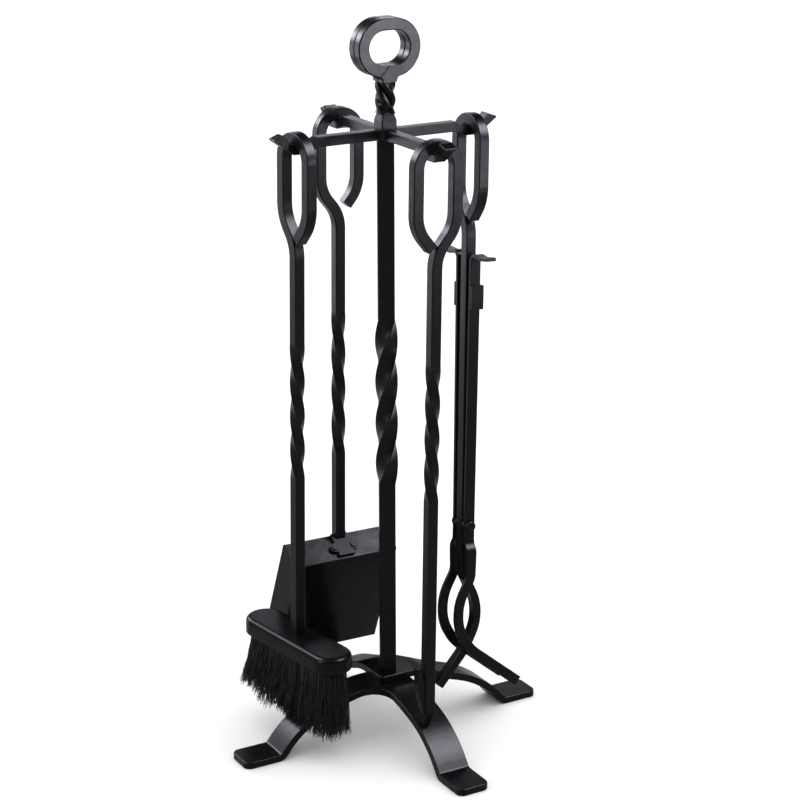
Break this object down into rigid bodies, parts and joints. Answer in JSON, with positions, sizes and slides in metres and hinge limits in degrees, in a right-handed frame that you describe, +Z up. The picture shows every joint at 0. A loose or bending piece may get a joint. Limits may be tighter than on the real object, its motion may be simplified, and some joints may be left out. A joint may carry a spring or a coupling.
{
  "type": "fireplace tool set",
  "caption": "Four-armed stand with a ring handle and arched feet, holding a hung brush, shovel, poker and hinged tongs, in satin black iron with twisted bars.",
  "frame": {"origin": "on the floor under the middle of the post", "axes": "+Z up along the post, tongs arm along +X, shovel arm along +Y, brush along -X, poker along -Y"},
  "size_m": [0.375, 0.375, 0.8],
  "materials": {
    "painted_iron": "satin black paint",
    "brush_block": "gloss black paint",
    "bristle": "coarse black bristle"
  },
  "bodies": {
    "stand": {"foot_plate_upper": "painted_iron", "foot_plate_lower": "painted_iron", "base_bolt": "painted_iron", "base_washer": "painted_iron", "post": "painted_iron", "hanger_hub": "painted_iron", "hanger_arm_left": "painted_iron", "hanger_arm_right": "painted_iron", "hanger_arm_front": "painted_iron", "hanger_arm_back": "painted_iron", "neck_block": "painted_iron", "neck_stud": "painted_iron", "ring_bar_front": "painted_iron", "ring_bar_back": "painted_iron"},
    "brush": {"brush_shank": "painted_iron", "brush_head": "brush_block", "brush_bristles": "bristle"},
    "shovel": {"shovel_shank": "painted_iron", "shovel_pan": "painted_iron", "shovel_rivets": "painted_iron"},
    "poker": {"poker_shank": "painted_iron", "poker_barb": "painted_iron"},
    "tongs": {"tongs_shank": "painted_iron", "tongs_rivet": "painted_iron", "tongs_spacers": "painted_iron"},
    "tongs_jaw": {"jaw_strip_left": "painted_iron", "jaw_strip_right": "painted_iron", "jaw_clip": "painted_iron"}
  },
  "joints": [
    {"name": "brush_lift", "type": "slide", "parent": "stand", "child": "brush", "axis": [-0.4226, 0, 0.9063], "range_m": [0, 0.11]},
    {"name": "shovel_lift", "type": "slide", "parent": "stand", "child": "shovel", "axis": [0, 0.4226, 0.9063], "range_m": [0, 0.11]},
    {"name": "poker_lift", "type": "slide", "parent": "stand", "child": "poker", "axis": [0, -0.4226, 0.9063], "range_m": [0, 0.11]},
    {"name": "tongs_lift", "type": "slide", "parent": "stand", "child": "tongs", "axis": [0.4226, 0, 0.9063], "range_m": [0, 0.11]},
    {"name": "jaw_pivot", "type": "hinge", "parent": "tongs", "child": "tongs_jaw", "pos_m": [0.08032, -0.02954, 0.23969], "axis": [0, 0.9976, -0.0698], "range_deg": [0, 22]}
  ]
}
